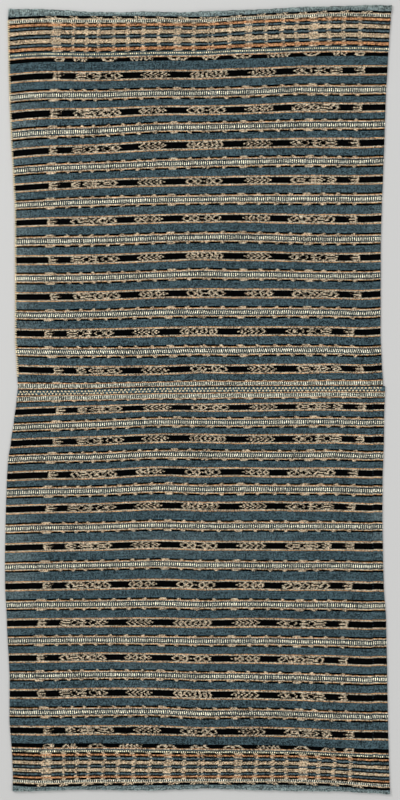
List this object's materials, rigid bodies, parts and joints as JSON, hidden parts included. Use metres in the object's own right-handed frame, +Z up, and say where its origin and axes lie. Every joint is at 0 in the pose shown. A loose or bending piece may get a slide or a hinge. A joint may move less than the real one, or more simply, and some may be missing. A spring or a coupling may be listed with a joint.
{
  "type": "ikat cloth tube skirt",
  "caption": "Flat ikat cloth: striped woven panels joined by a seam and wrapped into a tube, laid out as a front and a back layer with a fold at each side.",
  "frame": {"origin": "on the floor under the middle of the cloth, on the underside of its back layer", "axes": "+Y along the cloth towards the top hem, +X across it to the right, +Z up out of the front face"},
  "size_m": [0.6754, 1.3803, 0.0044],
  "materials": {
    "ikat_cotton": "matte"
  },
  "bodies": {
    "root": {"upper_panel": "ikat_cotton", "lower_panel": "ikat_cotton"}
  },
  "joints": []
}
